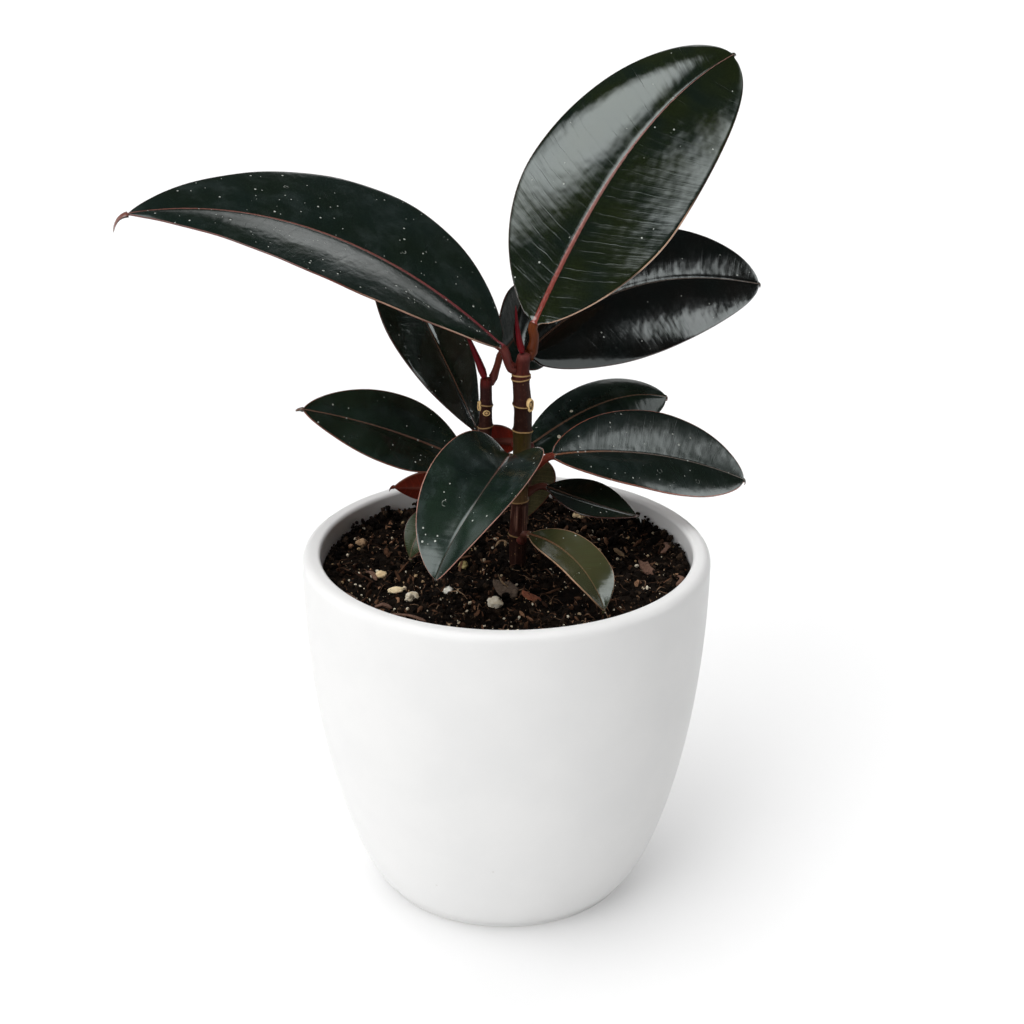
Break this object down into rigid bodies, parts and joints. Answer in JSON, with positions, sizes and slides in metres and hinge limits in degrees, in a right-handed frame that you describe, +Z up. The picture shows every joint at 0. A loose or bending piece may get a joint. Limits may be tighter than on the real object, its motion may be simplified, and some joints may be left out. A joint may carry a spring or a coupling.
{
  "type": "potted rubber plant",
  "caption": "Young rubber plant with glossy dark green leaves, reddish stems and bud sheaths, growing in soil in a plain white rounded ceramic pot.",
  "frame": {"origin": "centre of the pot's flat underside", "axes": "+Z up; -Y is the side the plant is seen from; +X is the viewer's right"},
  "size_m": [0.2362, 0.1619, 0.3066],
  "materials": {
    "white_ceramic": "satin",
    "potting_soil": "rough, dark and crumbly",
    "stem_bark": "smooth reddish brown bark",
    "dark_leaf": "glossy blackish green",
    "olive_leaf": "glossy olive green",
    "red_leaf": "satin brick red underside",
    "bud_sheath": "satin crimson",
    "perlite": "matt, porous",
    "bark_chip": "rough, dry"
  },
  "bodies": {
    "root": {"pot": "white_ceramic", "soil": "potting_soil", "main_stem": "stem_bark", "second_stem": "stem_bark", "top_right_leaf": "dark_leaf", "top_left_leaf": "dark_leaf", "right_shaded_leaf": "dark_leaf", "rear_upper_leaf": "dark_leaf", "rear_left_leaf": "dark_leaf", "lower_left_leaf": "dark_leaf", "front_drooping_leaf": "dark_leaf", "right_middle_leaf": "dark_leaf", "right_rear_leaf": "dark_leaf", "low_right_dark_leaf": "dark_leaf", "low_front_olive_leaf": "olive_leaf", "rear_hanging_leaf": "olive_leaf", "low_left_tip_leaf": "olive_leaf", "red_backed_leaf": "red_leaf", "small_red_leaf": "red_leaf", "main_bud_sheath": "bud_sheath", "second_bud_sheath": "bud_sheath", "perlite_grain_1": "perlite", "perlite_grain_2": "perlite", "perlite_grain_3": "perlite", "perlite_grain_4": "perlite", "perlite_grain_5": "perlite", "perlite_grain_6": "perlite", "perlite_grain_7": "perlite", "perlite_grain_8": "perlite", "bark_chip_1": "bark_chip", "bark_chip_2": "bark_chip", "bark_chip_3": "bark_chip", "bark_chip_4": "bark_chip"}
  },
  "joints": []
}
